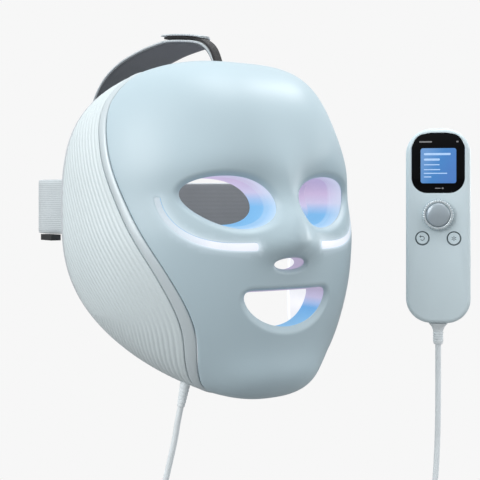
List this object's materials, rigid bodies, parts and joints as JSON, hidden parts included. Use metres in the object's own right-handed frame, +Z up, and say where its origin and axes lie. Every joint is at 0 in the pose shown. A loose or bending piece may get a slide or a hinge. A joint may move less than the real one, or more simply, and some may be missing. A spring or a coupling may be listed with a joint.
{
  "type": "led face mask",
  "caption": "Rigid light therapy mask with eye, nostril and mouth openings, under-eye light strips, two head straps, and a corded remote with a display, a dial and buttons.",
  "frame": {"origin": "middle of the opening that the wearer's head fills, on the mask's plane of symmetry, between the side rims", "axes": "+X to the wearer's left, +Y backward into the wearer's head so that the face looks along -Y, +Z up"},
  "size_m": [0.2581, 0.2623, 0.4216],
  "materials": {
    "shell": "satin pale grey-blue moulded plastic",
    "side_panel": "satin pale grey-green plastic with fine moulded ribs",
    "trim": "satin silver plated strip",
    "diffuser": "translucent milky silicone lit from behind, pink at the top and blue below",
    "glow": "lit white light pipe with soft edges",
    "ceramic": "white ceramic thermoelectric module",
    "cold_metal": "smooth anodised cooling plate",
    "led_board": "white flexible circuit with surface-mounted lights",
    "silicone": "soft matt silicone",
    "cord": "pale grey cord sheath, satin",
    "strap": "light grey knitted elastic with brushed loop face",
    "strap_lining": "dark grey brushed lining with light grey edges",
    "hook": "black hook tape",
    "black_plastic": "black moulded plastic",
    "remote_case": "satin pale grey-blue plastic",
    "steel": "plain machined steel",
    "window": "polished black window",
    "screen": "lit blue display",
    "circuit_board": "green solder mask",
    "dial": "satin silver-grey dial with a knurled pale rim"
  },
  "bodies": {
    "mask": {"front_shell": "shell", "trim_strip_right": "trim", "side_panel_right": "side_panel", "trim_strip_left": "trim", "side_panel_left": "side_panel", "inner_liner": "diffuser", "mouth_surround": "diffuser", "nostril_surround": "diffuser", "eye_surround_right": "diffuser", "eye_surround_left": "diffuser", "under_eye_light_right": "glow", "under_eye_light_left": "glow", "cooling_module_right": "ceramic", "cooling_module_left": "ceramic", "cooling_plate_right": "cold_metal", "cooling_plate_left": "cold_metal", "led_board_forehead": "led_board", "led_board_chin": "led_board", "led_board_cheek_right": "led_board", "led_board_cheek_left": "led_board", "forehead_pad": "silicone", "rim_seal": "silicone", "cord_gland": "cord", "rear_strap": "strap", "top_strap": "strap_lining", "hook_patch": "hook", "top_strap_tab": "strap", "forehead_lug": "black_plastic", "strap_clip_right": "black_plastic", "strap_clip_left": "black_plastic", "strap_keeper_right": "hook", "strap_keeper_left": "hook", "cord_mask_side": "cord", "cord_coil": "cord", "cord_tie": "black_plastic", "cord_remote_side": "cord"},
    "remote": {"remote_front_cover": "remote_case", "remote_back_cover": "remote_case", "remote_screw_1": "steel", "remote_screw_2": "steel", "remote_screw_3": "steel", "remote_screw_4": "steel", "display_window": "window", "display_panel": "screen", "control_board": "circuit_board", "rotary_encoder": "black_plastic", "switch_back": "black_plastic", "switch_power": "black_plastic", "battery_cell": "black_plastic", "charge_socket": "steel", "remote_strain_relief": "cord"},
    "dial_shaft": {"dial_shaft": "steel"},
    "dial": {"dial_ring": "dial", "dial_cap": "dial"},
    "button_back": {"button_back": "remote_case"},
    "button_power": {"button_power": "remote_case"}
  },
  "joints": [
    {"name": "remote_swivel", "type": "hinge", "parent": "mask", "child": "remote", "pos_m": [0.136, -0.0948, -0.066], "axis": [0, 0, 1], "range_deg": [-90, 90]},
    {"name": "dial_press", "type": "slide", "parent": "remote", "child": "dial_shaft", "axis": [0.7181, 0.696, 0], "range_m": [0, 0.0006], "stiffness_N_per_m": 1500},
    {"name": "dial_turn", "type": "hinge", "parent": "dial_shaft", "child": "dial", "pos_m": [0.12882, -0.10176, 0.0097], "axis": [-0.7181, -0.696, 0], "continuous": true},
    {"name": "button_back_press", "type": "slide", "parent": "remote", "child": "button_back", "axis": [0.7181, 0.696, 0], "range_m": [0, 0.0005], "stiffness_N_per_m": 1200},
    {"name": "button_power_press", "type": "slide", "parent": "remote", "child": "button_power", "axis": [0.7181, 0.696, 0], "range_m": [0, 0.0005], "stiffness_N_per_m": 1200}
  ]
}
